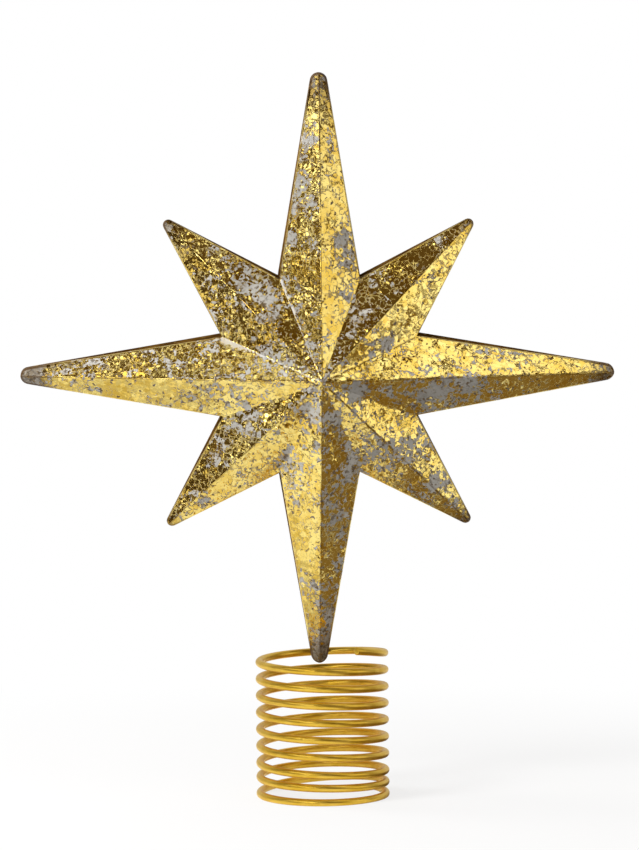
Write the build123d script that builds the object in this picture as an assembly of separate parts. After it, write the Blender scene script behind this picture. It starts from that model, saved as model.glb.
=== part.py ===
from build123d import *
from math import asin, atan2, cos, degrees, floor, hypot, pi, radians, sin, sqrt
import os
import numpy as np

# A tree topper: an eight-pointed star pressed from steel sheet, soldered to a coil of gilt wire.
# Lengths in mm, angles in degrees. The coil's axis is Z, its foot is at zero and the star faces -Y.

# Star
long_ray = 101.6         # centre to the end of an upright or level ray
short_ray = 73.7         # centre to the end of a slanting ray
corner_reach = 36.6      # centre to the inner corners between the rays
apex_height = 24.0       # middle of the star above its back plane
corner_height = 8.0      # folded edge above the back plane at the inner corners
long_nose = 3.0          # rounding of a long ray's end, in plan
short_nose = 1.9         # rounding of a short ray's end, in plan
sheet = 0.8              # thickness of the steel sheet
wall_draft = 4.0         # lean of the turned-back wall
ridge_radius = 0.8       # rounding along the ridges
ray_count = 8

# Coil
wire = 2.6               # wire diameter
coil_mean = 42.6         # coil diameter at the middle of the wire
foot_flat = 0.5          # depth of the flat that the lowest turn stands on
tail_turns = 0.08        # cut end of the wire, lying on the floor
dead_turns = 0.5         # part of the lowest turn that lies almost flat
dead_rise = 0.3
lift_turns = 0.5         # part of a turn that climbs clear of the lowest one
lift_rise = 3.6
close_turns = 1.0
close_pitch = 3.9
open_turns = 7.0
open_pitch = 5.65
lead_turns = 0.15        # free end at the top, sprung upwards
lead_rise = 2.0

# Joint between star and coil
star_lean = 9.6          # forward lean of the star, which brings it over the coil
tip_below_wire = 3.2     # end of the bottom ray below the strand that it is soldered to
seat_clearance = 0.15    # star's back edge to the wire
solder_clearance = 0.05  # solder to the sheet
bead_clearance = 0.15    # solder to the wire
bead_wall = 0.9          # solder round the wire
bead_length = 4.6        # solder along the wire
bead_rounding = 0.7
plug_length = 9.0        # solder in the hollow end of the bottom ray

overrun = 5.0            # how far cutting tools reach past what they cut
wall_top_share = 1.1     # height of the leaning walls, as a share of the corner height
roof_spread_share = 1.1  # how far the facets are carried out, as a share of the star
back_turn_share = 0.75   # back of the coil, as a share of a turn from its right-hand side

half_step = 180.0 / ray_count
wall_top = wall_top_share * corner_height


def at_angle(reach, angle, height=0):
    return Vector(reach * cos(radians(angle)), reach * sin(radians(angle)), height)


def ray_form(ray):
    """A ray's axis, the angle from it to the normal of its side walls, its length and its nose."""
    length, nose = (long_ray, long_nose) if ray % 2 == 0 else (short_ray, short_nose)
    corner = at_angle(corner_reach, half_step)
    along = length - nose - corner.X
    half_angle = degrees(atan2(corner.Y, along) - asin(nose / hypot(along, corner.Y)))
    return 2 * half_step * ray, 90 - half_angle, length, nose


def wall_lines(ray, inset):
    """Right and left side of a ray in plan: the angle of its normal and its distance from the centre."""
    axis, lean, length, nose = ray_form(ray)
    distance = (length - nose) * cos(radians(lean)) + nose - inset
    return (axis - lean, distance), (axis + lean, distance)


def meeting(first, second):
    """Plan point where two such lines cross."""
    (angle_a, distance_a), (angle_b, distance_b) = first, second
    a, b = radians(angle_a), radians(angle_b)
    x = (distance_a * sin(b) - distance_b * sin(a)) / sin(b - a)
    y = (distance_b * cos(a) - distance_a * cos(b)) / sin(b - a)
    return Vector(x, y)


def nose_points(ray, inset):
    """Start, middle and end of the arc round a ray's end."""
    axis, lean, length, nose = ray_form(ray)
    centre = at_angle(length - nose, axis)
    return [centre + at_angle(nose - inset, axis + turn) for turn in (-lean, 0, lean)]


def outline(inset):
    """Star outline on the back plane, moved inwards by inset."""
    edges = []
    for ray in range(ray_count):
        nose = nose_points(ray, inset)
        corner = meeting(wall_lines(ray, inset)[1], wall_lines(ray + 1, inset)[0])
        edges.append(ThreePointArc(*nose))
        edges.append(Line(nose[-1], corner))
        edges.append(Line(corner, nose_points(ray + 1, inset)[0]))
    return make_face(edges)


def walled_star(inset):
    """Star prism whose walls lean inwards up to the folded edge and then rise straight."""
    leaning = extrude(outline(inset), amount=wall_top, taper=wall_draft)
    return leaning + extrude(leaning.faces().sort_by(Axis.Z)[-1], amount=apex_height)


def front_corners():
    """Apex of the star, then its tips and inner corners in turn, on the front face."""
    rim = []
    for ray in range(ray_count):
        rim.append(meeting(*wall_lines(ray, 0)))
        rim.append(at_angle(corner_reach, (2 * ray + 1) * half_step, corner_height))
    return Vector(0, 0, apex_height), rim


def roof(lowered):
    """Block under the sixteen facets, which are carried out past the star's edge and lowered."""
    apex, rim = front_corners()
    rim = [apex + (corner - apex) * roof_spread_share for corner in rim]
    floor = [Vector(corner.X, corner.Y, -apex_height) for corner in rim]
    faces = [Face(Wire.make_polygon(floor))]
    for here in range(len(rim)):
        after = (here + 1) % len(rim)
        faces.append(Face(Wire.make_polygon([apex, rim[here], rim[after]])))
        faces.append(Face(Wire.make_polygon([rim[here], floor[here], floor[after], rim[after]])))
    return Pos(0, 0, -lowered) * Solid(Shell(faces))


def hollow(inset):
    """Space inside the star, with inset between it and the outer faces, carried out past the back plane."""
    apex, rim = front_corners()
    facet = (rim[1] - apex).cross(rim[0] - apex).normalized()
    level_inset = inset / cos(radians(wall_draft))
    inside = walled_star(level_inset) + extrude(outline(level_inset), amount=-overrun)
    return inside & roof(inset / abs(facet.Z))


def star_shell():
    """The pressing, rounded along its ridges and open at the back."""
    pressed = walled_star(0) & roof(0)
    ridges = [edge for edge in pressed.edges() if is_ridge(edge)]
    return fillet(ridges, ridge_radius) - hollow(sheet)


def is_ridge(edge):
    """Ridges run from the apex out past the inner corners."""
    reaches = sorted(hypot(vertex.X, vertex.Y) for vertex in edge.vertices())
    return reaches[0] < sheet and reaches[-1] > corner_reach


def coil_stations():
    """Turns and height of the wire's middle, a half turn apart or less, from the tail up."""
    low = wire / 2 - foot_flat
    stations = [(-tail_turns, low), (0, low)]
    stretches = [(dead_turns, dead_rise), (lift_turns, lift_rise), (close_turns, close_turns * close_pitch),
                 (open_turns, open_turns * open_pitch), (lead_turns, lead_rise)]
    for turns, rise in stretches:
        start, height = stations[-1]
        steps = max(1, round(2 * turns))
        for step in range(1, steps + 1):
            stations.append((start + turns * step / steps, height + rise * step / steps))
    return stations


def on_coil(turns, height, slope):
    """Point of a left-hand helix and its direction, where slope is the rise in a whole turn."""
    angle = 2 * pi * turns
    around = pi * coil_mean
    point = Vector(coil_mean / 2 * cos(angle), -coil_mean / 2 * sin(angle), height)
    return point, Vector(-around * sin(angle), -around * cos(angle), slope).normalized()


def coil_nodes():
    """Points and directions at the stations, each as steep as the gentler of its two sides."""
    stations = coil_stations()
    slopes = [(b[1] - a[1]) / (b[0] - a[0]) for a, b in zip(stations, stations[1:])]
    gentle = [slopes[0]] + [min(pair) for pair in zip(slopes, slopes[1:])] + [slopes[-1]]
    return [on_coil(turns, height, slope) for (turns, height), slope in zip(stations, gentle)]


def biarc(start, end):
    """Two arcs that leave start and reach end in the given directions and touch each other smoothly."""
    (point_a, along_a), (point_b, along_b) = start, end
    chord = point_b - point_a
    spread = 2 * (1 - along_a.dot(along_b))
    lead = chord.dot(along_a + along_b)
    reach = (sqrt(lead ** 2 + spread * chord.dot(chord)) - lead) / spread
    corner_a = point_a + along_a * reach
    corner_b = point_b - along_b * reach
    middle = (corner_a + corner_b) / 2
    first = TangentArc(point_a, middle, tangent=along_a)
    return [first, TangentArc(middle, point_b, tangent=corner_b - corner_a)]


def coil_path():
    """The wire's middle line, with both cut ends straight for one wire diameter."""
    nodes = coil_nodes()
    (tail, tail_way), (lead, lead_way) = nodes[0], nodes[-1]
    edges = [Line(tail - tail_way * wire, tail)]
    for start, end in zip(nodes, nodes[1:]):
        edges += biarc(start, end)
    edges.append(Line(lead, lead + lead_way * wire))
    return edges


def tube(edges, diameter):
    start = edges[0]
    section = Plane(start @ 0, z_dir=start % 0) * Circle(diameter / 2)
    return sweep(section, path=Wire(edges))


def print_least_gap(edges):
    """Least space between stretches of the wire over half a turn apart, on points along each arc."""
    sample_count = 24
    places = [edge @ (step / sample_count) for edge in edges[1:-1] for step in range(sample_count)]
    points = np.array([tuple(place) for place in places])
    run = np.concatenate([[0], np.cumsum(np.linalg.norm(np.diff(points, axis=0), axis=1))])
    apart = np.linalg.norm(points[:, None] - points[None], axis=2)
    far = np.abs(run[:, None] - run[None]) > pi * coil_mean / 2
    print("least gap between the coil's turns", round(float(apart[far].min()) - wire, 3), "mm")


def coil_spring():
    path = coil_path()
    print_least_gap(path)
    return split(tube(path, wire), Plane.XY, keep=Keep.TOP)


def back_strand():
    """Which stretch of the coil last passes behind the star, and the height of its middle there."""
    stations = coil_stations()
    turns = floor(stations[-1][0] - back_turn_share) + back_turn_share
    stretch = max(index for index, station in enumerate(stations) if station[0] <= turns)
    (turns_a, height_a), (turns_b, height_b) = stations[stretch:stretch + 2]
    return stretch, height_a + (height_b - height_a) * (turns - turns_a) / (turns_b - turns_a)


def seat():
    """Star's back plane to the middle of the strand, whose curve meets the ray's two edges."""
    normal, distance = wall_lines(0, 0)[1]
    along = long_ray - tip_below_wire - wire / 2
    half_width = (distance - along * cos(radians(normal))) / sin(radians(normal))
    inside = (coil_mean - wire) / 2
    return coil_mean / 2 - sqrt(inside ** 2 - half_width ** 2) + seat_clearance


def star_plane():
    """The star's own frame: its back plane, centre at the origin, facing forwards and down."""
    lean = radians(star_lean)
    face, up = Vector(0, -cos(lean), -sin(lean)), Vector(0, -sin(lean), cos(lean))
    strand = Vector(0, coil_mean / 2, back_strand()[1])
    centre = strand + face * seat() + up * (long_ray - tip_below_wire)
    return Plane(centre, x_dir=(1, 0, 0), z_dir=face)


def solder_joint():
    """Solder that fills the end of the bottom ray and closes round the strand behind it."""
    strand_along = -(long_ray - tip_below_wire)
    end_box = Box(coil_mean, plug_length, apex_height + seat(), align=(Align.CENTER, Align.MIN, Align.MIN))
    plug = hollow(sheet + solder_clearance) & Pos(0, -long_ray, -seat()) * end_box
    bead_radius = wire / 2 + bead_clearance + bead_wall
    bead = Rot(0, 90, 0) * Cylinder(bead_radius, bead_length)
    bead = Pos(0, strand_along, -seat()) * fillet(bead.edges().filter_by(GeomType.CIRCLE), bead_rounding)
    bead = split(bead, Plane.XY.offset(-solder_clearance), keep=Keep.BOTTOM)
    stretch = back_strand()[0]
    channel = tube(biarc(*coil_nodes()[stretch:stretch + 2]), wire + 2 * bead_clearance)
    return star_plane() * (plug + bead) - channel


os.makedirs("parts", exist_ok=True)
export_step(star_plane() * star_shell(), "parts/star_shell.step")
export_step(coil_spring(), "parts/coil_spring.step")
export_step(solder_joint(), "parts/solder_joint.step")
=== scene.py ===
import math

import bpy
from mathutils import Matrix, Vector, noise
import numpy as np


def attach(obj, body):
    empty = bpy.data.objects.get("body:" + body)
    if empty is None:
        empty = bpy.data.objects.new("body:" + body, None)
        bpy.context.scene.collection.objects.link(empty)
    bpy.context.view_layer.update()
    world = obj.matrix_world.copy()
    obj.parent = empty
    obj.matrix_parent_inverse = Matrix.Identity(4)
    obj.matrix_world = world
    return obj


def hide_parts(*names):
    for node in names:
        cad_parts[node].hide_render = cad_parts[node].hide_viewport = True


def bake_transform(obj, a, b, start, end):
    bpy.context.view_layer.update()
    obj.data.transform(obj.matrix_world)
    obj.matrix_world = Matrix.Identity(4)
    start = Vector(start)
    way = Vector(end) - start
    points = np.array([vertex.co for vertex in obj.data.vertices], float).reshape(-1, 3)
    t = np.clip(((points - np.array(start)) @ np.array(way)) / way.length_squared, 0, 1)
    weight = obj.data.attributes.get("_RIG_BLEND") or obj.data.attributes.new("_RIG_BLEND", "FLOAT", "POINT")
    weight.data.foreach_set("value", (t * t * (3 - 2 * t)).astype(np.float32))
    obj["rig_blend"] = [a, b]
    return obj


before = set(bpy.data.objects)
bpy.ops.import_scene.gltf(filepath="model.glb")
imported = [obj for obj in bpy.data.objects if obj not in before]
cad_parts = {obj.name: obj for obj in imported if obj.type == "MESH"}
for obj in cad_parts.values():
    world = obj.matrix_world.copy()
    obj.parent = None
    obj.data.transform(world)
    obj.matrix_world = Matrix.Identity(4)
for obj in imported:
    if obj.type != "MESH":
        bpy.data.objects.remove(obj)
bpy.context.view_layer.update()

MM = 0.001
FRONT, WALL, INSIDE = range(3)   # surfaces of the star, in the order of its materials

# Star, in mm and degrees, as in the part's source
long_ray = 101.6
short_ray = 73.7
corner_reach = 36.6
apex_height = 24.0
corner_height = 8.0
long_nose = 3.0
short_nose = 1.9
sheet = 0.8
wall_draft = 4.0
ray_count = 8
half_step = 180.0 / ray_count
star_lean = 9.6
star_centre = (0.0, 3.19, 143.47)

# Star, forms that only the visual model has
ridge_soft = 0.22         # half width of a ridge's rounding
valley_soft = 0.22        # lift of the rounded line between two rays
fold_setback = 0.5        # rounding of the folded edge, back from its corner
nose_setback = 0.75       # the same round the end of a ray
inner_setback = 0.3       # the same inside
fold_share = 0.72         # most of a low edge's height that its rounding takes
inner_fold_share = 0.4    # the same inside
nose_fade = (0.8, 3.2)    # where a nose's rounding starts and stops to fade, in half angles of the nose
rim_round = 0.14          # rounding of the sheet's cut edge
rim_corner = 0.3          # middle of that rounding, as a share of it
rim_share = 0.5           # most of a low inner edge's height that it takes
least_nose = 0.05
least_edge = 0.25
least_inside = 0.2
dent_depth = 0.16         # how far the pressed sheet is from flat
dent_size = 27.0
small_dent_depth = 0.45   # smaller dents, as shares of the larger ones
small_dent_count = 2.7
dent_layer = 4.0          # slice of the noise that the dents come from
dent_free = 12.0          # round the apex, the dents fade out within this

# Star, rows and columns of its mesh
front_rows = 44
front_spread = 1.15       # over 1 brings the rows closer together in the middle
fold_rows = 7
wall_rows = (0.33, 0.66)  # shares of the way down the wall
inner_fold_rows = 4
inner_rows = 22
edge_rounds = 6           # rounds in which the edge's height is found
just_past = 0.001         # radians from a column into the facet after it
half_ray = (0, 0.1, 0.2, 0.3, 0.45, 0.6, 0.8, 1.0, 1.2, 1.4, 1.6, 1.8, 2.1, 2.6, 3.4, 4.6, 6.2, 8.0, 10.0,
            12.0, 14.0, 15.8, 17.4, 18.8, 19.9, 20.7, 21.3, 21.7, 22.0, 22.2, 22.35)

# Leaf
flake_count = 560         # flakes and grains to a metre
grain_count = 1200
sway_reach = 2.2          # how far the edges of the flakes wander, in broad waves and in jags
jag_reach = 1.1
leaf_share = 0.62         # the higher, the less leaf
whole_gain = 0.11         # leaf that a whole spot adds and a bare spot takes away
bare_loss = 0.15
spot_limit = 1.3          # most that spots on top of each other come to, in single spots
tip_shift = (0, 6, -3, 3.5, -2, 6, 0, 3.5)  # how much less worn each ray's end is, from the right round

# What the leaf is told of each point: distances from the outline, the ridge, the valley and the end of
# the ray, whether it is on the fold, and what the spots add. Of each facet: see facet_leaf
POINT_MARKS = ("edge", "ridge", "valley", "tip", "fold", "patch")
FACET_MARKS = ("cover", "crumple", "bare", "paint")

# Leaf on the two facets of each ray, clockwise side first, from the right-hand ray round: how much
# more or less of it there is than elsewhere, how crumpled it is, how wide the painted highlight (bright bare
# paint) is along the line to the next ray, and how light the paint under it is, which is painted light and
# shade: each facet's paint is made lighter or darker after how brightly that facet is lit
facet_leaf = (
    ((0.03, 0.5, 0.0, 0.68), (0.07, 0.1, 0.0, 1.0)),
    ((0.05, 0.2, 0.0, 1.0), (0.03, 0.7, 0.0, 1.25)),
    ((0.06, 0.3, 0.0, 1.2), (0.0, 0.3, 0.45, 0.85)),
    ((0.06, 1.4, 0.0, 1.05), (-0.01, 1.1, 0.0, 1.05)),
    ((0.02, 0.25, 0.8, 1.2), (0.06, 0.4, 0.0, 1.05)),
    ((0.0, 0.85, 0.0, 1.0), (0.03, 0.35, 0.0, 1.0)),
    ((0.02, 0.3, 0.0, 1.05), (0.04, 0.45, 0.0, 1.0)),
    ((0.06, 0.45, 0.0, 0.85), (0.04, 0.25, 0.0, 1.0)),
)

# Larger spots where the leaf has come off, and where it is whole: right and up from the star's
# middle, and radius, seen from the front, ray by ray from the right-hand one round
bare_spots = (
    (60, 10, 3.5), (54, 6, 2.5), (66, 8, 3), (75, 8, 3), (41, -4, 6), (51, -3, 5), (37, -8, 5), (96, 0, 5),
    (12, -3, 4),
    (23, 39, 2.5), (40, 47, 2.5), (45, 43, 2.2), (38, 33, 3), (12, 20, 3), (18, 10, 3.5), (23, 13, 2.5),
    (-6, 80, 5), (-7.5, 62, 5.5), (-10.5, 47, 3), (-3.5, 45, 3), (4, 77, 2.8), (6.5, 67, 2.8), (7, 53, 3),
    (6, 46, 4.5), (9, 40, 4), (8, 29, 3.5), (-5, 12, 2.5),
    (-25, 32, 6), (-36, 42, 3), (-20, 21, 3.5), (-18, 27, 3), (-14, 22, 4), (-12, 6.5, 3), (-50.5, 51, 2.5),
    (-95, 1.5, 2.5), (-85, 5, 3), (-77, 5.5, 3), (-62, 10, 3.5), (-49, 3.5, 3), (-38, 11, 3),
    (-77, -4.7, 2.2), (-59, -6.5, 2.5), (-54, -8, 2.5), (-43, -5.5, 5), (-27, -8, 4),
    (-37, -28, 5), (-25, -16, 4), (-27, -34, 2.2), (-39, -42, 3), (-5, -9.5, 3),
    (-8.5, -42, 3.5), (-9, -63, 2.5), (-5, -74, 3), (-5, -86, 3), (-11, -29, 3.5), (10.5, -32, 5),
    (2, -42, 3.5), (6, -51, 5), (6, -68, 4), (2, -80, 4), (0, -97, 5), (3, -92, 5), (3.5, -84, 4),
    (4.5, -14, 5), (12, -27, 4.5),
    (34, -26, 6), (42, -36, 2.5), (27, -25, 4), (39, -38, 5), (12, -7, 3), (21, -26, 5), (50.5, -51, 2.5),
)
whole_spots = (
    (36, 9, 7), (70, 6, 2.5), (82, 6.5, 4), (62, -1.5, 5), (72, -1.5, 3.5), (47, -6, 2.5),
    (29, 21, 6), (45, 47, 3.5), (36, 37, 3), (27, 37, 5), (37, 43, 4), (47, 51, 3),
    (-3, 93, 3.5), (-3.5, 87, 3), (-4.5, 70, 2.5), (-6, 51, 5.5), (-9, 38, 5), (1, 90, 4.5),
    (1, 77, 4), (4.5, 59, 5), (1.5, 48, 4), (3, 23, 4),
    (-45, 47, 5), (-42, 39, 4), (-33, 29, 4), (-26, 22, 4),
    (-93, 1.5, 2.5), (-81, 1, 2.5), (-68, 6, 3.5), (-46, 11, 4.5), (-56, 4, 3), (-38, 3.5, 3.5),
    (-86, -2, 3.5), (-69, -5.5, 4), (-54, -3, 4),
    (-43, -36, 4.5), (-49, -44, 4), (-34, -36, 5), (-24, -25, 4), (-31, -21, 3.5), (-50, -50.5, 3),
    (-6.5, -51, 6), (-4, -64, 5), (-4, -80, 3.5), (4, -32, 4.5), (4, -58, 4.5), (1, -68, 3),
    (-6.5, -21, 4), (5, -26, 4),
    (25, -17, 5), (21, -13, 5),
)

# Coil, as in the part's source
wire = 2.6
coil_mean = 42.6
foot_flat = 0.5
tail_turns = 0.08
stretches = ((0.5, 0.3), (0.5, 3.6), (1.0, 3.9), (7.0, 39.55), (0.15, 2.0))  # turns and rise, foot to top
stations_per_turn = 2

# Coil, forms and mesh that only the visual model has
end_round = 0.42          # rounding of the wire's cut ends
cap_rings = 4
rings_per_turn = 84
wire_sides = 20

# Solder, a lump round the strand behind the star
strand_turns = 8.75       # turns along the coil to the middle of the lump
lump_half = 2.45          # half its length along the wire
lump_reach = 2.2          # from the wire's middle to its back
lump_hole = 1.45          # the wire and its clearance
lump_swellings = ((4.0, 110, 30), (1.2, 180, 35), (0.6, 235, 25))  # height, and middle and width in degrees
lump_thin_end = 0.004     # keeps the ends of the lump from closing on the hole
lump_bumps = 0.07         # unevenness, as a share of the lump
lump_bump_reach = 2.0
lump_bump_count = 0.75
lump_rows = 24
lump_sides = 40

# Colours
gold_deep = (0.81, 0.555, 0.095)
gold_pale = (0.96, 0.775, 0.25)
gold_thin = (0.40, 0.22, 0.03)
gold_handled = (0.17, 0.095, 0.022)
# painted shade: dark gold for the lines along the ridges and round the noses
gold_dark_line = (0.20, 0.11, 0.02)
paint_deep = (0.305, 0.296, 0.272)
paint_pale = (0.445, 0.432, 0.396)
paint_dust = (0.13, 0.115, 0.095)
paint_stain = (0.16, 0.10, 0.03)
# darker paint in the gaps between flakes at the leaf's edge
paint_in_gaps = (0.10, 0.06, 0.012)
paint_pepper = (0.085, 0.048, 0.014)
# painted highlight: light paint for the bright lines along some valleys
paint_sheen = (0.58, 0.57, 0.56)
# painted shade: dark paint for the lines along the ridges and round the noses
paint_dark_line = (0.075, 0.040, 0.013)
grime_pale = (0.16, 0.118, 0.064)
grime_deep = (0.05, 0.030, 0.011)
wall_deep = (0.045, 0.020, 0.004)
wall_pale = (0.110, 0.055, 0.010)
wall_rubbed = (0.50, 0.31, 0.06)
inside_deep = (0.140, 0.122, 0.104)
inside_pale = (0.20, 0.177, 0.150)
inside_mist = (0.52, 0.36, 0.09)
wire_deep = (0.81, 0.515, 0.050)
wire_pale = (0.91, 0.615, 0.090)
solder_deep = (0.30, 0.28, 0.25)
solder_pale = (0.50, 0.44, 0.33)
solder_gilt = (0.60, 0.42, 0.10)
white = (1.0, 1.0, 1.0)

# Studio
room_tone = (0.105, 0.066, 0.028)   # the room in front of the part, out of the picture
right_tone = (0.190, 0.133, 0.066)  # cards that darken a facet's reflection
left_tone = (0.070, 0.044, 0.018)
floor_tone = (0.46, 0.45, 0.42)
card_roughness = 0.9
backdrop_share = 0.62               # brightness of the backdrop in reflections
backdrop_turn = (-0.05, 0.45)       # how far back the room turns into the backdrop, on a unit sphere

# Floor, in metres
floor_radius = 6.0
floor_rings = 24
floor_spokes = 96
floor_matt = (0.72, 0.72, 0.72, 1.0)
floor_shaded = 0.78       # whiteness under the part, and where it grows to full
floor_whitens = (0.05, 0.36)
behind_reach = 0.12       # behind the part, and to its left, the floor is mirrored as white
left_reach = (0.22, 0.28)
left_soft = 0.03
left_share = 0.85

# Lamps, in mm: place, the point that each one faces, width, height, brightness, and whether it is mirrored
star_middle = (0, 0, 140)
lamps = {
    "key": ((-440, -310, 520), star_middle, 200, 200, 33.0, False),
    "key_screen": ((-435, -330, 465), star_middle, 260, 260, 2.2, True),
    "right_strip": ((400, -215, 192), (0, 0, 150), 330, 310, 1.0, True),
    "left_strip": ((-480, -150, 150), star_middle, 140, 140, 1.5, True),
    "upper_screen": ((-130, -268, 640), star_middle, 130, 130, 1.8, True),
    "inner_left": ((-160, -392, 588), (-30, -15, 147), 70, 110, 0.95, True),
    "inner_top": ((-443, -246, 200), (-3, -17, 165), 90, 46, 1.0, True),
    "top": ((316, -290, 671), star_middle, 320, 360, 1.3, True),
    "front_screen": ((-375, -769, 340), (0, 0, 40), 260, 170, 7.0, True),
    "back_fill": ((-560, 260, 420), star_middle, 250, 250, 13.0, False),
}

# Cards, in mm: colour and corners
cards = {
    "right_card": (right_tone, (24, -300, 1), (420, -300, 1), (420, 60, 1), (24, 60, 1)),
    "floor_card": (floor_tone, (-175, -32, 1), (-62, -22, 1), (-62, 40, 1), (-175, 40, 1)),
    "left_card": (left_tone, (-430, -150, 2), (-230, -430, 2), (-230, -430, 200), (-430, -150, 200)),
    "front_card": (left_tone, (-235, -80, 1), (-90, -235, 1), (-230, -430, 1), (-430, -150, 1)),
}

# Camera, as in the photograph
image_height = 850
focal_px = 1997.9
shift_px = 0.32
sensor_height = 36.0
near_clip = 0.01
camera_distance = 680.5
camera_height = 112.85
camera_azimuth = -2.47
camera_pitch = -1.082
camera_roll = -0.51


# Meshes

def smooth(low, high, value):
    share = min(1.0, max(0.0, (value - low) / (high - low)))
    return share * share * (3 - 2 * share)


def band(low, high, count):
    """Faces between two rings of vertices, by the first vertex of each."""
    for side in range(count):
        after = (side + 1) % count
        yield low + side, high + side, high + after, low + after


def mesh_object(name, verts, faces, rounded=True):
    mesh = bpy.data.meshes.new(name)
    mesh.from_pydata(verts, [], faces)
    mesh.validate()
    mesh.polygons.foreach_set("use_smooth", [rounded] * len(mesh.polygons))
    mesh.update()
    made = bpy.data.objects.new(name, mesh)
    bpy.context.collection.objects.link(made)
    return made


# Star

def ray_form(ray):
    """Length, nose, and the angle from the ray's axis to the normal of its side walls."""
    length, nose = (long_ray, long_nose) if ray % 2 == 0 else (short_ray, short_nose)
    corner_x = corner_reach * math.cos(math.radians(half_step))
    corner_y = corner_reach * math.sin(math.radians(half_step))
    along = length - nose - corner_x
    half_angle = math.atan2(corner_y, along) - math.asin(nose / math.hypot(along, corner_y))
    return length, nose, math.pi / 2 - half_angle


def ray_slopes(ray):
    """Fall of a ray's facets along its axis and away from it."""
    length, nose, lean = ray_form(ray)
    sharp_end = ((length - nose) * math.cos(lean) + nose) / math.cos(lean)
    corner_x = corner_reach * math.cos(math.radians(half_step))
    corner_y = corner_reach * math.sin(math.radians(half_step))
    along = -apex_height / sharp_end
    return along, (corner_height - apex_height - along * corner_x) / corner_y


FORMS = [ray_form(ray) for ray in range(2)]
SLOPES = [ray_slopes(ray) for ray in range(2)]


def nearest_ray(angle):
    """Ray that an angle belongs to, and the angle from that ray's axis, in radians."""
    step = 2 * math.radians(half_step)
    ray = round(angle / step)
    return ray % ray_count, angle - ray * step


def reach(angle, inset):
    """Distance from the centre to the star's outline moved inwards by inset."""
    ray, local = nearest_ray(angle)
    length, nose, lean = FORMS[ray % 2]
    local = abs(local)
    centre = length - nose
    radius = max(nose - inset, least_nose)
    if local < math.atan2(radius * math.sin(lean), centre + radius * math.cos(lean)):
        return centre * math.cos(local) + math.sqrt(radius ** 2 - (centre * math.sin(local)) ** 2)
    return (centre * math.cos(lean) + radius) / math.cos(lean - local)


def ray_height(ray, x, y):
    """Height of a ray's facets above the back plane, carried on past its valleys."""
    axis = 2 * math.radians(half_step) * ray
    along = math.cos(axis) * x + math.sin(axis) * y
    across = math.cos(axis) * y - math.sin(axis) * x
    fall_along, fall_across = SLOPES[ray % 2]
    return apex_height + fall_along * along + fall_across * math.hypot(across, ridge_soft)


def dent(x, y):
    place = Vector((x, y, dent_layer)) / dent_size
    return dent_depth * (noise.noise(place) + small_dent_depth * noise.noise(place * small_dent_count))


def roof(angle, distance):
    """Height of the front face above the back plane."""
    ray, local = nearest_ray(angle)
    side = 1 if local >= 0 else -1
    x, y = distance * math.cos(angle), distance * math.sin(angle)
    here, beside = ray_height(ray, x, y), ray_height((ray + side) % ray_count, x, y)
    rounded = (here + beside) / 2 + math.hypot((here - beside) / 2, valley_soft)
    return rounded + dent(x, y) * smooth(0, dent_free, distance)


def sheet_depth(angle):
    """Thickness of the sheet, square to the back plane."""
    ray, _ = nearest_ray(angle)
    return sheet * math.sqrt(1 + sum(slope ** 2 for slope in SLOPES[ray % 2]))


def ceiling(angle, distance):
    """Height of the inside above the back plane."""
    return max(roof(angle, distance) - sheet_depth(angle), least_inside)


def edge_height(angle, inset, lowered):
    """Height at which the leaning wall meets the front face or, lowered by the sheet, the inside."""
    draft = math.tan(math.radians(wall_draft))
    height = corner_height
    for _ in range(edge_rounds):
        height = max(roof(angle, reach(angle, inset + height * draft)) - lowered, least_edge)
    return height


def nose_share(angle):
    """1 round the end of a ray and 0 along its sides."""
    ray, local = nearest_ray(angle)
    length, nose, lean = FORMS[ray % 2]
    turn = math.atan2(nose * math.sin(lean), length - nose + nose * math.cos(lean))
    start, stop = nose_fade
    return 1 - smooth(start * turn, stop * turn, abs(local))


def star_angles():
    """Angles round the star, close together at ridges, noses and inner corners."""
    angles = []
    for ray in range(ray_count):
        axis = 2 * half_step * ray
        angles += [axis - local for local in reversed(half_ray[1:])] + [axis + local for local in half_ray]
        angles.append(axis + half_step)
    return [math.radians(angle) for angle in angles]


def bent(first, corner, last, steps):
    """Points of a rounded corner, from first to last."""
    for step in range(steps + 1):
        t = step / steps
        yield [(1 - t) ** 2 * a + 2 * t * (1 - t) * b + t * t * c for a, b, c in zip(first, corner, last)]


def front_profile(angle):
    """Points from the apex out and round the fold, as in star_profile, and the height that they end at."""
    draft = math.tan(math.radians(wall_draft))
    edge = edge_height(angle, 0, 0)
    back = fold_setback + (nose_setback - fold_setback) * nose_share(angle)
    low = edge - min(back, fold_share * edge)
    start = reach(angle, edge * draft + back)
    points = []
    for row in range(1, front_rows + 1):
        distance = start * (row / front_rows) ** front_spread
        points.append((distance, roof(angle, distance), FRONT, 0.0))
    fold = bent((start, roof(angle, start)), (reach(angle, edge * draft), edge),
                (reach(angle, low * draft), low), fold_rows)
    points += [(distance, height, FRONT, 1.0) for distance, height in list(fold)[1:]]
    return points, low


def inner_profile(angle):
    """Points from the rim in to the middle of the inside, as in star_profile."""
    draft = math.tan(math.radians(wall_draft))
    edge = edge_height(angle, sheet, sheet_depth(angle))
    low = edge - min(inner_setback, inner_fold_share * edge)
    start = reach(angle, sheet + edge * draft + inner_setback)
    line = [(reach(angle, sheet + rim_round * draft), min(rim_round, rim_share * edge))]
    line += bent((reach(angle, sheet + low * draft), low), (reach(angle, sheet + edge * draft), edge),
                 (start, ceiling(angle, start)), inner_fold_rows)
    for row in range(inner_rows - 1, 0, -1):
        distance = start * row / inner_rows
        line.append((distance, ceiling(angle, distance)))
    return [(distance, height, INSIDE, 0.0) for distance, height in line]


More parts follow.
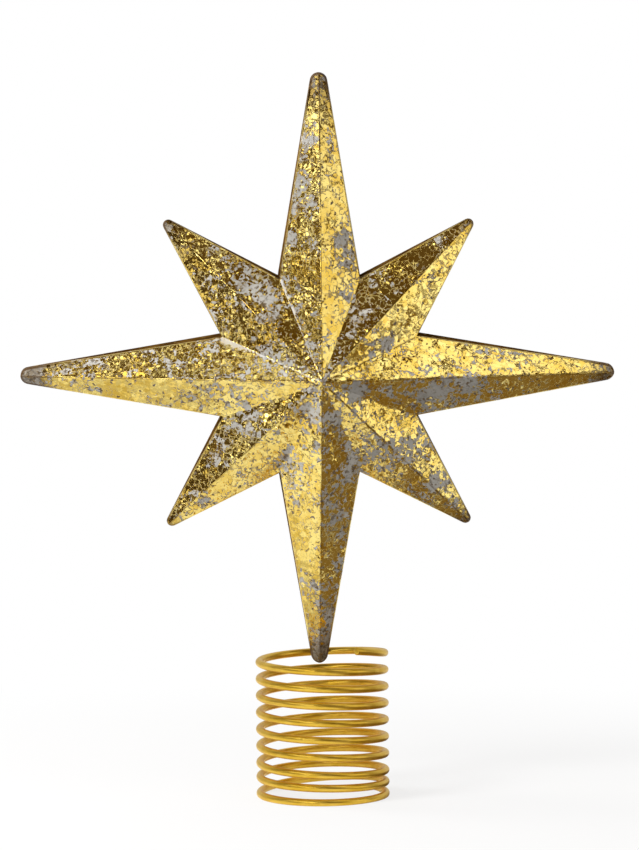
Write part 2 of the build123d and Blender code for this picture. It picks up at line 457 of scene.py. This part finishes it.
def star_profile(angle):
    """Points from the front apex out, round the rim and back inside.

    Each has its distance from the centre, its height, its surface and 1 if it is on the fold."""
    draft = math.tan(math.radians(wall_draft))
    points, low = front_profile(angle)
    heights = [low + (rim_round - low) * share for share in wall_rows] + [rim_round]
    points += [(reach(angle, height * draft), height, WALL, 0.0) for height in heights]
    corner = rim_corner * rim_round
    points.append((reach(angle, corner), corner, WALL, 0.0))
    points.append((reach(angle, rim_round), 0, WALL, 0.0))
    points.append((reach(angle, sheet - rim_round), 0, INSIDE, 0.0))
    points.append((reach(angle, sheet - corner), corner, INSIDE, 0.0))
    return points + inner_profile(angle)


def star_matrix():
    lean = math.radians(star_lean)
    right, up = Vector((1, 0, 0)), Vector((0, -math.sin(lean), math.cos(lean)))
    face = Vector((0, -math.cos(lean), -math.sin(lean)))
    matrix = Matrix((right, up, face)).transposed().to_4x4()
    matrix.translation = Vector(star_centre) * MM
    return matrix


def spot_share(spots, x, y):
    return sum(math.exp(-((x - right) ** 2 + (y - up) ** 2) / radius ** 2) for right, up, radius in spots)


def leaf_patch(x, y):
    """Leaf that the larger spots add or take away."""
    patch = whole_gain * spot_share(whole_spots, x, y) - bare_loss * spot_share(bare_spots, x, y)
    return max(-spot_limit * bare_loss, min(spot_limit * whole_gain, patch))


def point_marks(angle, distance, fold):
    """Values of POINT_MARKS for one point."""
    ray, local = nearest_ray(angle)
    length, nose, lean = FORMS[ray % 2]
    centre = length - nose
    along, across = distance * math.cos(local), abs(distance * math.sin(local))
    if math.atan2(across, along - centre) < lean and along > centre:
        edge = nose - math.hypot(along - centre, across)
    else:
        edge = centre * math.cos(lean) + nose - distance * math.cos(lean - abs(local))
    valley = distance * math.sin(math.radians(half_step) - abs(local))
    tip = length - along + tip_shift[ray]
    patch = leaf_patch(distance * math.cos(angle), distance * math.sin(angle))
    return edge, across, valley, tip, fold, patch


def facet_marks(angle):
    """Values of FACET_MARKS for the faces after a column."""
    ray, local = nearest_ray(angle + just_past)
    return facet_leaf[ray][1 if local > 0 else 0]


def add_marks(mesh, domain, names, marks):
    for index, name in enumerate(names):
        layer = mesh.attributes.new(name, "FLOAT", domain)
        layer.data.foreach_set("value", [mark[index] for mark in marks])


def star_mesh():
    angles = star_angles()
    profiles = [star_profile(angle) for angle in angles]
    rows, columns = len(profiles[0]), len(angles)
    points = [(0, 0, roof(0, 0), 0.0)]
    for row in range(rows):
        for angle, profile in zip(angles, profiles):
            distance, height, _, fold = profile[row]
            points.append((angle, distance, height, fold))
    points.append((0, 0, roof(0, 0) - sheet_depth(0), 0.0))
    place = star_matrix()
    verts = []
    for angle, distance, height, _ in points:
        point = Vector((distance * math.cos(angle), distance * math.sin(angle), height))
        verts.append(place @ (point * MM))

    last, low = len(verts) - 1, 1 + (rows - 1) * columns
    faces = [(0, 1 + column, 1 + (column + 1) % columns) for column in range(columns)]
    surfaces = [FRONT] * columns
    for row in range(rows - 1):
        faces += band(1 + row * columns, 1 + (row + 1) * columns, columns)
        surfaces += [profiles[0][row + 1][2]] * columns
    faces += [(low + column, last, low + (column + 1) % columns) for column in range(columns)]
    surfaces += [INSIDE] * columns

    star = mesh_object("star", verts, faces)
    star.data.polygons.foreach_set("material_index", surfaces)
    add_marks(star.data, "POINT", POINT_MARKS,
              [point_marks(angle, distance, fold) for angle, distance, _, fold in points])
    add_marks(star.data, "FACE", FACET_MARKS, [facet_marks(angle) for angle in angles] * (rows + 1))
    star.data.update()
    return star


# Coil

def coil_stations():
    """Turns and heights that the wire's middle passes through."""
    low = wire / 2 - foot_flat
    stations = [(-tail_turns, low), (0.0, low)]
    for turns, rise in stretches:
        start, height = stations[-1]
        steps = max(1, round(stations_per_turn * turns))
        for step in range(1, steps + 1):
            stations.append((start + turns * step / steps, height + rise * step / steps))
    return stations


def coil_slopes(stations):
    sides = [(b[1] - a[1]) / (b[0] - a[0]) for a, b in zip(stations, stations[1:])]
    return [sides[0]] + [min(pair) for pair in zip(sides, sides[1:])] + [sides[-1]]


def coil_height(turns, stations, slopes):
    """Height of the wire's middle, smooth through the stations."""
    index = 0
    while index < len(stations) - 2 and turns > stations[index + 1][0]:
        index += 1
    (a, height_a), (b, height_b) = stations[index], stations[index + 1]
    t = (turns - a) / (b - a)
    low, high = slopes[index] * (b - a), slopes[index + 1] * (b - a)
    return ((2 * t ** 3 - 3 * t ** 2 + 1) * height_a + (t ** 3 - 2 * t ** 2 + t) * low
            + (3 * t ** 2 - 2 * t ** 3) * height_b + (t ** 3 - t ** 2) * high)


def coil_line():
    """Points along the wire's middle, from the tail up, with both ends straight for one wire diameter."""
    stations = coil_stations()
    slopes = coil_slopes(stations)
    first, last = stations[0][0], stations[-1][0]
    count = round((last - first) * rings_per_turn)
    radius = coil_mean / 2
    line = []
    for step in range(count + 1):
        turns = first + (last - first) * step / count
        angle = 2 * math.pi * turns
        height = coil_height(turns, stations, slopes)
        line.append(Vector((radius * math.cos(angle), -radius * math.sin(angle), height)))
    tail_way = (line[0] - line[1]).normalized()
    lead_way = (line[-1] - line[-2]).normalized()
    return [line[0] + tail_way * wire] + line + [line[-1] + lead_way * wire]


def wire_end(middle, way, outwards):
    """Rings of a rounded end, from the side of the wire to its cut."""
    for step in range(1, cap_rings + 1):
        turn = math.pi / 2 * step / cap_rings
        radius = wire / 2 - end_round * (1 - math.cos(turn))
        yield middle - way * outwards * end_round * (1 - math.sin(turn)), way, radius


def coil_mesh():
    line = coil_line()
    last = len(line) - 1
    ways = [(line[min(i + 1, last)] - line[max(i - 1, 0)]).normalized() for i in range(last + 1)]
    rings = [(middle, way, wire / 2) for middle, way in zip(line, ways)]
    rings[0] = (line[0] + ways[0] * end_round, ways[0], wire / 2)
    rings[last] = (line[last] - ways[last] * end_round, ways[last], wire / 2)
    tail = list(wire_end(line[0], ways[0], -1))
    lead = list(wire_end(line[last], ways[last], 1))
    rings = tail[::-1] + rings + lead
    verts = []
    for middle, way, radius in rings:
        outward = Vector((middle.x, middle.y, 0)).normalized()
        outward = (outward - way * outward.dot(way)).normalized()
        across = way.cross(outward)
        for side in range(wire_sides):
            turn = 2 * math.pi * side / wire_sides
            point = middle + (outward * math.cos(turn) + across * math.sin(turn)) * radius
            point.z = max(point.z, 0.0)
            verts.append(point * MM)
    faces = []
    for ring in range(len(rings) - 1):
        for a, b, c, d in band(ring * wire_sides, (ring + 1) * wire_sides, wire_sides):
            faces.append((a, d, c, b))
    faces.append(tuple(reversed(range(wire_sides))))
    faces.append(tuple(range((len(rings) - 1) * wire_sides, len(rings) * wire_sides)))
    return mesh_object("coil", verts, faces)


def keep_wire_round(coil):
    """One blend weight for each ring of the wire, so that the coil's stretch doesn't thicken the wire."""
    weights = coil.data.attributes["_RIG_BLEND"].data
    for first in range(0, len(weights), wire_sides):
        ring = [weights[index] for index in range(first, first + wire_sides)]
        mean = sum(weight.value for weight in ring) / wire_sides
        for weight in ring:
            weight.value = mean


# Solder

def lump_radius(turn):
    """Wire's middle to the lump's surface, by the angle from the star's back to its top, in degrees."""
    radius = lump_reach
    for height, middle, width in lump_swellings:
        radius += height * math.exp(-((turn - middle) / width) ** 2)
    return radius


def solder_mesh():
    stations = coil_stations()
    slopes = coil_slopes(stations)
    radius = coil_mean / 2
    outer, inner = [], []
    for row in range(lump_rows + 1):
        x = -lump_half * math.cos(math.pi * row / lump_rows)
        turns = strand_turns + math.asin(x / radius) / (2 * math.pi)
        back = math.sqrt(radius ** 2 - x ** 2)
        middle = Vector((x, back, coil_height(turns, stations, slopes)))
        outward = Vector((x, back, 0)) / radius
        share = math.sqrt(max(lump_thin_end, 1 - (x / lump_half) ** 2))
        for side in range(lump_sides):
            turn = 2 * math.pi * side / lump_sides
            way = outward * math.cos(turn) + Vector((0, 0, math.sin(turn)))
            bumps = noise.noise((middle + way * lump_bump_reach) * lump_bump_count)
            surface = lump_radius((math.degrees(turn) - star_lean) % 360) * (1 + lump_bumps * bumps * share)
            outer.append((middle + way * (lump_hole + (surface - lump_hole) * share)) * MM)
            inner.append((middle + way * lump_hole) * MM)
    inside = len(outer)
    faces = []
    for row in range(lump_rows):
        for face in band(row * lump_sides, (row + 1) * lump_sides, lump_sides):
            faces.append(face)
            faces.append(tuple(inside + index for index in reversed(face)))
    for row, order in ((0, 1), (lump_rows, -1)):
        for side in range(lump_sides):
            a, b = row * lump_sides + side, row * lump_sides + (side + 1) % lump_sides
            faces.append((a, b, inside + b, inside + a)[::order])
    return mesh_object("solder", outer + inner, faces)


# Materials

class Nodes:
    """Short names for the shader nodes that the materials and the world use."""

    def __init__(self, owner, output="ShaderNodeOutputMaterial"):
        owner.use_nodes = True
        self.owner = owner
        self.tree = owner.node_tree
        self.tree.nodes.clear()
        self.out = self.tree.nodes.new(output)

    def node(self, kind, **settings):
        made = self.tree.nodes.new(kind)
        for name, value in settings.items():
            setattr(made, name, value)
        return made

    def put(self, socket, value):
        if isinstance(value, bpy.types.NodeSocket):
            self.tree.links.new(value, socket)
        else:
            socket.default_value = value

    def finish(self, shader):
        self.put(self.out.inputs["Surface"], shader.outputs[0])
        return self.owner

    def place(self, kind="Object"):
        return self.node("ShaderNodeTexCoord").outputs[kind]

    def mark(self, name):
        return self.node("ShaderNodeAttribute", attribute_name=name).outputs["Fac"]

    def noise(self, vector, scale, detail=3.0, roughness=0.55, output="Fac"):
        """Cloudy noise, with so many clouds to a metre."""
        made = self.node("ShaderNodeTexNoise")
        self.put(made.inputs["Vector"], vector)
        made.inputs["Scale"].default_value = scale
        made.inputs["Detail"].default_value = detail
        made.inputs["Roughness"].default_value = roughness
        return made.outputs[output]

    def cells(self, vector, scale, feature="F1"):
        made = self.node("ShaderNodeTexVoronoi", feature=feature)
        self.put(made.inputs["Vector"], vector)
        made.inputs["Scale"].default_value = scale
        return made

    def turned(self, vector, angle, along):
        """Coordinates turned in the plane of the star and drawn out along one axis."""
        made = self.node("ShaderNodeMapping")
        made.inputs["Rotation"].default_value = (0.0, math.radians(angle), 0.0)
        made.inputs["Scale"].default_value = (along, 1.0, 1.0)
        self.put(made.inputs["Vector"], vector)
        return made.outputs["Vector"]

    def split(self, vector):
        made = self.node("ShaderNodeSeparateXYZ")
        self.put(made.inputs[0], vector)
        return made.outputs

    def math(self, operation, *values):
        made = self.node("ShaderNodeMath", operation=operation)
        for socket, value in zip(made.inputs, values):
            self.put(socket, value)
        return made.outputs[0]

    def times(self, first, second):
        return self.math("MULTIPLY", first, second)

    def rest(self, share):
        return self.math("SUBTRACT", 1.0, share)

    def vector(self, operation, first, *others):
        made = self.node("ShaderNodeVectorMath", operation=operation)
        self.put(made.inputs[0], first)
        for value in others:
            self.put(made.inputs["Scale"] if operation == "SCALE" else made.inputs[1], value)
        return made.outputs["Value" if operation == "LENGTH" else "Vector"]

    def centred(self, colour):
        """Random colours as vectors to all sides."""
        return self.vector("SUBTRACT", colour, (0.5, 0.5, 0.5))

    def span(self, value, low, high, to_low=0.0, to_high=1.0):
        """Smooth step from one value to another."""
        made = self.node("ShaderNodeMapRange", interpolation_type="SMOOTHSTEP")
        for socket, number in zip(made.inputs[:5], (value, low, high, to_low, to_high)):
            self.put(socket, number)
        return made.outputs[0]

    def mix(self, share, first, second):
        """Colour between two others."""
        made = self.node("ShaderNodeMix", data_type="RGBA")
        self.put(made.inputs["Factor"], share)
        for socket, value in zip(made.inputs[6:8], (first, second)):
            self.put(socket, (*value, 1.0) if isinstance(value, tuple) else value)
        return made.outputs[2]

    def bump(self, height, strength, depth, below=None):
        """Relief on a surface, with its depth in mm."""
        made = self.node("ShaderNodeBump")
        made.inputs["Strength"].default_value = strength
        made.inputs["Distance"].default_value = depth * MM
        self.put(made.inputs["Height"], height)
        if below is not None:
            self.put(made.inputs["Normal"], below)
        return made.outputs["Normal"]

    def shader(self, colour, roughness, metallic, normal=None, **constants):
        made = self.node("ShaderNodeBsdfPrincipled")
        self.put(made.inputs["Base Color"], (*colour, 1.0) if isinstance(colour, tuple) else colour)
        self.put(made.inputs["Roughness"], roughness)
        self.put(made.inputs["Metallic"], metallic)
        if normal is not None:
            self.put(made.inputs["Normal"], normal)
        for name, value in constants.items():
            made.inputs[name].default_value = value
        return self.finish(made)


def material_nodes(name):
    return Nodes(bpy.data.materials.new(name))


class Leaf:
    """Worn leaf over paint. Each step adds to the shares and colours that the later ones use."""

    def __init__(self):
        self.n = n = material_nodes("gold_leaf")
        self.place = n.place()
        sway = n.centred(n.noise(self.place, 260, 2, output="Color"))
        jag = n.centred(n.noise(self.place, 1000, 2, output="Color"))
        waved = n.vector("ADD", self.place, n.vector("SCALE", sway, sway_reach * MM))
        self.waved = n.vector("ADD", waved, n.vector("SCALE", jag, jag_reach * MM))
        self.flakes = n.cells(self.waved, flake_count).outputs
        self.grains = n.cells(self.waved, grain_count).outputs
        self.flake_chance = n.split(self.flakes["Color"])[0]
        self.grain_chance = n.split(self.grains["Color"])[0]
        self.dust = n.noise(self.place, 1100, 3, 0.6)

    def spread(self):
        """How far each place is from having lost its leaf."""
        n = self.n
        at = self.flakes["Position"]
        large = n.noise(at, 60, 3, 0.5)
        self.middling = n.noise(at, 210, 3, 0.6)
        ragged = n.noise(self.waved, 1000, 2, 0.6)
        streak = n.noise(n.turned(at, -38, 0.22), 330, 4, 0.6)
        broken = n.span(n.noise(self.place, 46), 0.42, 0.62)
        cover = n.math("MULTIPLY_ADD", self.middling, 0.55, n.times(large, 0.45))
        cover = n.math("MULTIPLY_ADD", streak, 0.25, cover)
        cover = n.math("MULTIPLY_ADD", ragged, 0.15, cover)
        scatter = n.math("MULTIPLY_ADD", broken, 0.20, 0.09)
        for chance in (self.flake_chance, self.grain_chance):
            cover = n.math("MULTIPLY_ADD", n.math("SUBTRACT", chance, 0.5), scatter, cover)
        cover = n.math("ADD", cover, n.math("ADD", n.mark("cover"), n.mark("patch")))
        cover = n.math("ADD", cover, n.span(n.mark("tip"), 1.0, 8.0, -0.11, 0.0))
        self.cover = n.math("SUBTRACT", cover, leaf_share)

    def pierce(self):
        """Gaps between flakes, specks and scratches, and the leaf that they leave."""
        n = self.n
        gaps = n.cells(self.waved, flake_count, "DISTANCE_TO_EDGE").outputs["Distance"]
        loose = n.span(n.noise(self.place, 120), 0.42, 0.56)
        gap = n.span(gaps, n.math("MULTIPLY_ADD", loose, 0.07, 0.004),
                     n.math("MULTIPLY_ADD", loose, 0.09, 0.02), 1.0, 0.0)
        gap = n.times(gap, n.span(self.cover, 0.03, 0.30, 1.0, 0.0))
        gap = n.times(gap, n.span(n.noise(self.place, 520, 2), 0.43, 0.50))
        speck = n.span(self.grain_chance, n.span(self.cover, 0.0, 0.12, 0.86, 0.97), 0.985)
        scratch = n.span(n.noise(n.turned(self.waved, -52, 0.24), 1500, 2, 0.5), 0.70, 0.72)
        self.hole = n.math("MAXIMUM", n.math("MAXIMUM", gap, speck), scratch)
        self.leaf = n.times(n.span(self.cover, 0.0, 0.006), n.rest(self.hole))

    def gild(self):
        """Colour of the leaf, darker at its thin edges."""
        n = self.n
        tone = n.math("MULTIPLY_ADD", self.flake_chance, 0.35, n.noise(self.place, 95))
        gold = n.mix(n.span(tone, 0.42, 0.92), gold_deep, gold_pale)
        thin = n.times(n.span(self.cover, 0.0, 0.05, 1.0, 0.0), 0.40)
        self.gold = n.mix(thin, gold, gold_thin)

    def underpaint(self):
        """Cloudy paint, lighter or darker facet by facet as painted light and shade, with dust, stains near
        the leaf, darker paint in its holes and grains left of it.
        """
        n = self.n
        cloud = n.noise(self.place, 70, 5, 0.6)
        paint = n.mix(n.span(cloud, 0.32, 0.68), paint_deep, paint_pale)
        # painted light and shade: the paint is made lighter or darker facet by facet after how brightly each
        # facet is lit
        paint = n.vector("SCALE", paint, n.mark("paint"))
        paint = n.mix(n.span(self.dust, 0.50, 0.72, 0.0, 0.60), paint, paint_dust)
        stain = n.times(n.span(self.cover, -0.09, 0.0), n.span(self.middling, 0.40, 0.60, 0.0, 0.55))
        paint = n.mix(stain, paint, paint_stain)
        # darker paint in the gaps between flakes at the leaf's edge
        gap_darkening = n.times(self.hole, n.span(self.cover, -0.01, 0.02, 0.0, 0.75))
        paint = n.mix(gap_darkening, paint, paint_in_gaps)
        pepper = n.span(n.split(self.grains["Color"])[2], 0.80, 0.84)
        pepper = n.times(pepper, n.span(self.cover, -0.26, -0.04, 0.0, 0.9))
        self.paint = n.mix(pepper, paint, paint_pepper)

    def paint_valley_sheen(self):
        """Painted highlight: bright lines of paint, with the leaf taken off, along the line between some of
        the rays, standing in for the sheen of the rounded valley there.
        """
        n = self.n
        width = n.times(n.span(n.mark("edge"), 3.0, 14.0, 2.6, 0.8), n.mark("bare"))
        width = n.times(width, n.span(n.noise(self.place, 480), 0.35, 0.62, 0.05, 1.5))
        # painted highlight: a bright line of paint along the rounded valley, where it would catch the key
        # lamp
        valley_sheen = n.span(n.mark("valley"), n.times(width, 0.3), width, 1.0, 0.0)
        self.valley_sheen = n.times(valley_sheen, n.span(n.mark("edge"), 10.0, 26.0, 0.85, 0.0))
        self.paint = n.mix(self.valley_sheen, self.paint, paint_sheen)
        self.leaf = n.times(self.leaf, n.rest(self.valley_sheen))

    def wear_and_painted_lines(self):
        """Ends of the rays dark from handling; painted shade along the ridges, a dark line that stands in
        for the dark reflection of a rounded ridge; the fold round each nose painted dark as an outline; and
        gold rubbed bright along the folds.
        """
        n = self.n
        handled = n.times(n.span(n.mark("tip"), 3.0, 13.0, 1.0, 0.0),
                          n.span(self.middling, 0.36, 0.56, 0.55, 0.95))
        grime = n.mix(n.span(self.dust, 0.42, 0.60), grime_pale, grime_deep)
        self.paint = n.mix(handled, self.paint, grime)
        self.gold = n.mix(n.times(handled, 0.90), self.gold, gold_handled)
        # painted shade: the dark line along each ridge stands in for the dark reflection of the rounded
        # ridge; the fold round each nose is painted dark as an outline
        end_line = n.times(n.mark("fold"), n.span(n.mark("tip"), 3.0, 16.0, 0.95, 0.0))
        ridge_line = n.times(n.span(n.mark("ridge"), 0.10, 0.50, 1.0, 0.0),
                             n.span(n.noise(self.place, 150), 0.40, 0.60, 0.1, 0.70))
        painted_dark_lines = n.math("MAXIMUM", end_line, ridge_line)
        self.paint = n.mix(painted_dark_lines, self.paint, paint_dark_line)
        self.gold = n.mix(painted_dark_lines, self.gold, gold_dark_line)
        rubbed = n.times(n.mark("fold"), n.span(n.noise(self.place, 330), 0.40, 0.50, 0.15, 0.85))
        rubbed = n.times(rubbed, n.span(n.mark("tip"), 4.0, 14.0))
        self.leaf = n.math("MAXIMUM", self.leaf, rubbed)

    def roughness(self):
        n = self.n
        gilt = n.math("MULTIPLY_ADD", n.noise(self.place, 420), 0.12, 0.06)
        bare = n.math("MULTIPLY_ADD", self.valley_sheen, -0.30, 0.56)
        return n.math("MULTIPLY_ADD", self.leaf, n.math("SUBTRACT", gilt, bare), bare)

    def normal(self):
        """Crumpled leaf: flakes and grains that are tilted, with creases and a fine crinkle."""
        n = self.n
        crumple = n.math("MULTIPLY_ADD", n.noise(self.place, 105, 2), 8.0, -4.75)
        crumple = n.math("ADD", crumple, n.mark("crumple"))
        crumple = n.span(crumple, -0.25, 0.9, 0.12, 0.52)
        tilt = n.vector("ADD", n.centred(self.flakes["Color"]),
                        n.vector("SCALE", n.centred(self.grains["Color"]), 0.8))
        lifted = n.math("POWER", n.split(self.grains["Color"])[1], 2.0)
        lifted = n.times(n.math("MULTIPLY_ADD", lifted, 1.5, 0.35), crumple)
        tilt = n.vector("SCALE", tilt, n.times(lifted, self.leaf))
        facing = n.vector("ADD", n.node("ShaderNodeNewGeometry").outputs["Normal"], tilt)
        facing = n.vector("NORMALIZE", facing)
        crease = n.math("ABSOLUTE", n.math("SUBTRACT", n.noise(self.waved, 330, 2, 0.5), 0.5))
        crease = n.times(crease, n.times(crumple, self.leaf))
        crinkle = n.times(n.noise(self.place, 1300), self.leaf)
        thickness = n.math("ADD", self.leaf, n.times(self.dust, 0.3))
        normal = n.bump(crease, 0.8, 1.0, facing)
        normal = n.bump(crinkle, 0.12, 0.2, normal)
        return n.bump(thickness, 0.25, 0.06, normal)

    def material(self):
        self.spread()
        self.pierce()
        self.gild()
        self.underpaint()
        self.paint_valley_sheen()
        self.wear_and_painted_lines()
        colour = self.n.mix(self.leaf, self.paint, self.gold)
        return self.n.shader(colour, self.roughness(), self.leaf, self.normal())


def wall_material():
    n = material_nodes("turned_edge")
    place = n.place()
    brown = n.mix(n.span(n.noise(place, 130, 4), 0.35, 0.65), wall_deep, wall_pale)
    rub = n.span(n.noise(place, 420, 3, 0.6), 0.60, 0.68)
    rub = n.times(rub, 0.5)
    grain = n.noise(place, 900)
    return n.shader(n.mix(rub, brown, wall_rubbed), n.span(grain, 0.3, 0.7, 0.55, 0.75), rub,
                    n.bump(grain, 0.2, 0.1), **{"Specular IOR Level": 0.0})


def inside_material():
    n = material_nodes("inside")
    place = n.place()
    colour = n.mix(n.span(n.noise(place, 55, 5, 0.62), 0.35, 0.65), inside_deep, inside_pale)
    mist = n.span(n.noise(place, 1100, 2), 0.58, 0.66)
    mist = n.times(mist, n.span(n.mark("edge"), 1.0, 11.0, 0.8, 0.12))
    grain = n.noise(place, 700, 4, 0.6)
    return n.shader(n.mix(mist, colour, inside_mist), n.span(grain, 0.3, 0.7, 0.45, 0.65),
                    n.math("MULTIPLY_ADD", mist, 0.5, 0.3), n.bump(grain, 0.3, 0.12))


def wire_material():
    n = material_nodes("gilt_wire")
    place = n.place()
    colour = n.mix(n.span(n.noise(place, 160), 0.35, 0.65), wire_deep, wire_pale)
    roughness = n.span(n.noise(place, 300), 0.3, 0.7, 0.32, 0.39)
    grain = n.noise(place, 1700, 3, 0.6)
    return n.shader(colour, roughness, 1.0, n.bump(grain, 0.03, 0.02))


def solder_material():
    n = material_nodes("solder")
    place = n.place()
    cloud = n.noise(place, 380, 4, 0.6)
    colour = n.mix(n.span(cloud, 0.35, 0.65), solder_deep, solder_pale)
    gilt = n.span(n.noise(place, 600), 0.52, 0.60, 0.0, 0.7)
    return n.shader(n.mix(gilt, colour, solder_gilt), n.span(cloud, 0.3, 0.7, 0.30, 0.50), 0.85,
                    n.bump(cloud, 0.4, 0.4))


# Studio

def floor_material():
    """Pale matt floor, white to the camera and, where the backdrop is, in reflections."""
    n = material_nodes("floor")
    place = n.place()
    away = n.vector("LENGTH", place)
    x, y, _ = n.split(place)
    behind = n.span(y, 0.0, behind_reach)
    left = n.times(n.span(x, 0.0, left_soft, 1.0, 0.0), n.span(away, *left_reach, 1.0, 0.0))
    behind = n.math("MAXIMUM", behind, n.times(left, left_share))
    path = n.node("ShaderNodeLightPath").outputs
    mirrored = n.math("MAXIMUM", path["Is Glossy Ray"], path["Is Transmission Ray"])
    mirrored = n.times(mirrored, n.times(behind, backdrop_share))
    seen = n.math("MAXIMUM", path["Is Camera Ray"], mirrored)
    matt = n.node("ShaderNodeBsdfDiffuse")
    matt.inputs["Color"].default_value = floor_matt
    glow = n.node("ShaderNodeEmission")
    glow.inputs["Color"].default_value = (*white, 1.0)
    both = n.node("ShaderNodeMixShader")
    n.put(both.inputs[0], n.times(n.span(away, *floor_whitens, floor_shaded, 1.0), seen))
    n.put(both.inputs[1], matt.outputs[0])
    n.put(both.inputs[2], glow.outputs[0])
    return n.finish(both)


def floor_object():
    verts = [Vector((0, 0, 0))]
    for ring in range(1, floor_rings + 1):
        radius = floor_radius * (ring / floor_rings) ** 2
        for spoke in range(floor_spokes):
            turn = 2 * math.pi * spoke / floor_spokes
            verts.append(Vector((radius * math.cos(turn), radius * math.sin(turn), 0)))
    faces = [(0, 1 + spoke, 1 + (spoke + 1) % floor_spokes) for spoke in range(floor_spokes)]
    for ring in range(floor_rings - 1):
        faces += band(1 + ring * floor_spokes, 1 + (ring + 1) * floor_spokes, floor_spokes)
    floor = mesh_object("floor", verts, faces, rounded=False)
    floor.data.materials.append(floor_material())


def studio_world():
    """White to the camera. In reflections, a dim backdrop behind the part and a dark room in front."""
    n = Nodes(bpy.data.worlds.new("studio"), "ShaderNodeOutputWorld")
    depth = n.split(n.place("Generated"))[1]
    backdrop = n.span(depth, *backdrop_turn, 0.0, backdrop_share)
    seen = n.math("MAXIMUM", backdrop, n.node("ShaderNodeLightPath").outputs["Is Camera Ray"])
    back = n.node("ShaderNodeBackground")
    n.put(back.inputs["Color"], n.mix(seen, room_tone, white))
    bpy.context.scene.world = n.finish(back)


def lamp(name, place, aim, width, height, radiance, mirrored):
    """Softbox of a given brightness, facing a point."""
    data = bpy.data.lights.new(name, "AREA")
    data.shape = "RECTANGLE"
    data.size, data.size_y = width * MM, height * MM
    data.energy = radiance * math.pi * data.size * data.size_y
    made = bpy.data.objects.new(name, data)
    made.location = Vector(place) * MM
    made.rotation_euler = (Vector(aim) - Vector(place)).to_track_quat("-Z", "Y").to_euler()
    made.visible_glossy = mirrored
    bpy.context.collection.objects.link(made)


def flag(name, tone, *corners):
    """Dark card beside the part, out of the picture, that some facets reflect."""
    card = mesh_object(name, [Vector(corner) * MM for corner in corners], [(0, 1, 2, 3)], rounded=False)
    card.data.materials.append(material_nodes(name).shader(tone, card_roughness, 0.0))
    card.visible_camera = card.visible_diffuse = card.visible_shadow = False


def camera():
    data = bpy.data.cameras.new("camera")
    data.sensor_fit = "VERTICAL"
    data.sensor_height = sensor_height
    data.lens = focal_px / image_height * sensor_height
    data.shift_x = -shift_px / image_height
    data.clip_start = near_clip
    made = bpy.data.objects.new("camera", data)
    azimuth, pitch = math.radians(camera_azimuth), math.radians(camera_pitch)
    right, back = math.sin(azimuth), math.cos(azimuth)
    made.location = Vector((camera_distance * right, -camera_distance * back, camera_height)) * MM
    ahead = Vector((-right * math.cos(pitch), back * math.cos(pitch), -math.sin(pitch)))
    turn = ahead.to_track_quat("-Z", "Y").to_matrix() @ Matrix.Rotation(math.radians(camera_roll), 3, "Z")
    made.rotation_euler = turn.to_euler()
    bpy.context.collection.objects.link(made)
    bpy.context.scene.camera = made


bpy.context.scene.view_settings.view_transform = "Standard"

star = star_mesh()
for material in (Leaf().material(), wall_material(), inside_material()):
    star.data.materials.append(material)
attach(star, "star")
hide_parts("star_shell")

coil = coil_mesh()
coil.data.materials.append(wire_material())
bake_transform(coil, "coil", "star", start=(0, 0, 0.004), end=(0, 0, 0.0450))
keep_wire_round(coil)
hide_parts("coil_spring")

solder = solder_mesh()
solder.data.materials.append(solder_material())
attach(solder, "star")
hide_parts("solder_joint")

floor_object()
studio_world()
for name, settings in lamps.items():
    lamp(name, *settings)
for name, settings in cards.items():
    flag(name, *settings)
camera()
